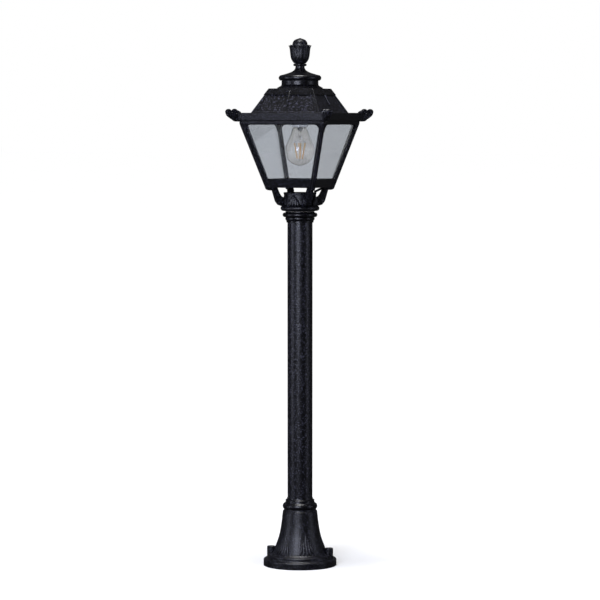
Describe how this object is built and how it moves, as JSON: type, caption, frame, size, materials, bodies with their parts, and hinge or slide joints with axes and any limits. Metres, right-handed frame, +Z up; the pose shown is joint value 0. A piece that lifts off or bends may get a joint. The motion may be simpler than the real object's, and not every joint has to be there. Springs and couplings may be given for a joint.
{
  "type": "garden post lantern",
  "caption": "Black garden post lantern: bell foot with anchor lugs, round post, turning four-sided glazed lantern, lift-out cap and lamp carrier, screw-in lamp.",
  "frame": {"origin": "middle of the foot's underside", "axes": "+Z up along the post; the four glazed faces look along +X, +Y, -X and -Y"},
  "size_m": [0.2344, 0.2344, 1.054],
  "materials": {
    "black_resin": "fine-textured matt black moulded resin",
    "post_coating": "fine-textured matt black resin tube",
    "pane_acrylic": "clear, faintly grey acrylic sheet",
    "stainless_steel": "stainless steel fasteners",
    "zinc_plated": "zinc-plated steel",
    "nylon": "natural nylon",
    "rubber_seal": "black rubber",
    "porcelain": "white glazed porcelain",
    "brass": "bright brass",
    "nickel_shell": "nickel-plated shell",
    "lamp_glass": "clear blown glass",
    "filament_coating": "amber phosphor silicone"
  },
  "bodies": {
    "post_stand": {"base_casting": "black_resin", "base_ring": "black_resin", "base_screws": "stainless_steel", "cable_grommet": "rubber_seal", "post_tube": "post_coating", "top_collar": "black_resin", "collar_screws": "stainless_steel", "swivel_spigot": "zinc_plated", "swivel_washer": "nylon", "spigot_nut": "zinc_plated"},
    "lantern": {"lantern_cup": "black_resin", "cup_cover": "black_resin", "terminal_block": "nylon", "lead_conduit": "black_resin", "bracket_1": "black_resin", "bracket_2": "black_resin", "bracket_3": "black_resin", "bracket_4": "black_resin", "sill_rail_1": "black_resin", "sill_rail_2": "black_resin", "sill_rail_3": "black_resin", "sill_rail_4": "black_resin", "floor_plate": "black_resin", "corner_post_1": "black_resin", "corner_post_2": "black_resin", "corner_post_3": "black_resin", "corner_post_4": "black_resin", "top_rail_1": "black_resin", "top_rail_2": "black_resin", "top_rail_3": "black_resin", "top_rail_4": "black_resin", "pane_1": "pane_acrylic", "pane_2": "pane_acrylic", "pane_3": "pane_acrylic", "pane_4": "pane_acrylic", "eave_frame": "black_resin", "corner_ornament_1": "black_resin", "corner_ornament_2": "black_resin", "corner_ornament_3": "black_resin", "corner_ornament_4": "black_resin", "roof_shell": "black_resin", "roof_screws": "stainless_steel", "roof_neck": "black_resin", "neck_gasket": "rubber_seal"},
    "lamp_tray": {"lamp_carrier": "black_resin", "carrier_clip": "stainless_steel", "lampholder_body": "porcelain", "lampholder_shell": "brass", "lampholder_contact": "brass"},
    "cap": {"roof_cap": "black_resin", "bayonet_ring": "black_resin", "finial_ring": "black_resin", "finial_cup": "black_resin", "finial_dome": "black_resin"},
    "lamp": {"lamp_cap": "nickel_shell", "lamp_contact": "brass", "lamp_glass": "lamp_glass", "lamp_stem": "lamp_glass", "lamp_filaments": "filament_coating"}
  },
  "joints": [
    {"name": "lantern_swivel", "type": "hinge", "parent": "post_stand", "child": "lantern", "pos_m": [0, 0, 0.71], "axis": [0, 0, 1], "continuous": true},
    {"name": "cap_lift", "type": "slide", "parent": "lantern", "child": "lamp_tray", "axis": [0, 0, 1], "range_m": [0, 0.2]},
    {"name": "cap_turn", "type": "hinge", "parent": "lamp_tray", "child": "cap", "pos_m": [0, 0, 0.96], "axis": [0, 0, 1], "range_deg": [0, 25]},
    {"name": "lamp_turn", "type": "hinge", "parent": "lamp_tray", "child": "lamp", "pos_m": [0, 0, 0.89], "axis": [0, 0, 1], "range_deg": [0, 1440]}
  ]
}
